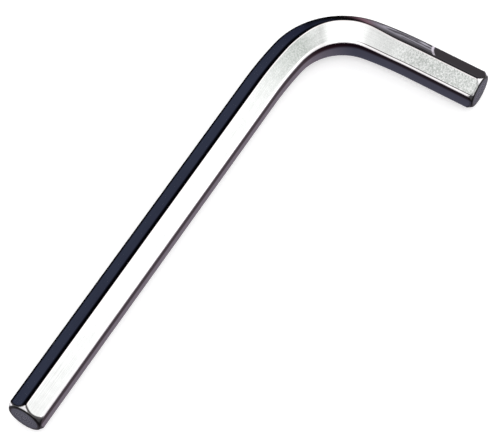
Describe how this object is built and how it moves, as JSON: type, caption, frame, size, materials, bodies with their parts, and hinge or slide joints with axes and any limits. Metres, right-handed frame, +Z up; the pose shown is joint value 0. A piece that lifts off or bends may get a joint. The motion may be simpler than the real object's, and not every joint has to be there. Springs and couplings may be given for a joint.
{
  "type": "hex key",
  "caption": "L-shaped hexagonal key bent from one plated steel bar, with a long arm, a short arm and chamfered flat tips, lying flat.",
  "frame": {"origin": "centre of the outline box at the surface the key rests on", "axes": "+X along the long arm, from the bend to its tip; +Y along the short arm, from the bend to its tip; +Z up, square to the plane of the L"},
  "size_m": [0.094, 0.035, 0.0069],
  "materials": {
    "key": "polished nickel-chrome plate over drawn steel bar"
  },
  "bodies": {
    "root": {"key": "key"}
  },
  "joints": []
}
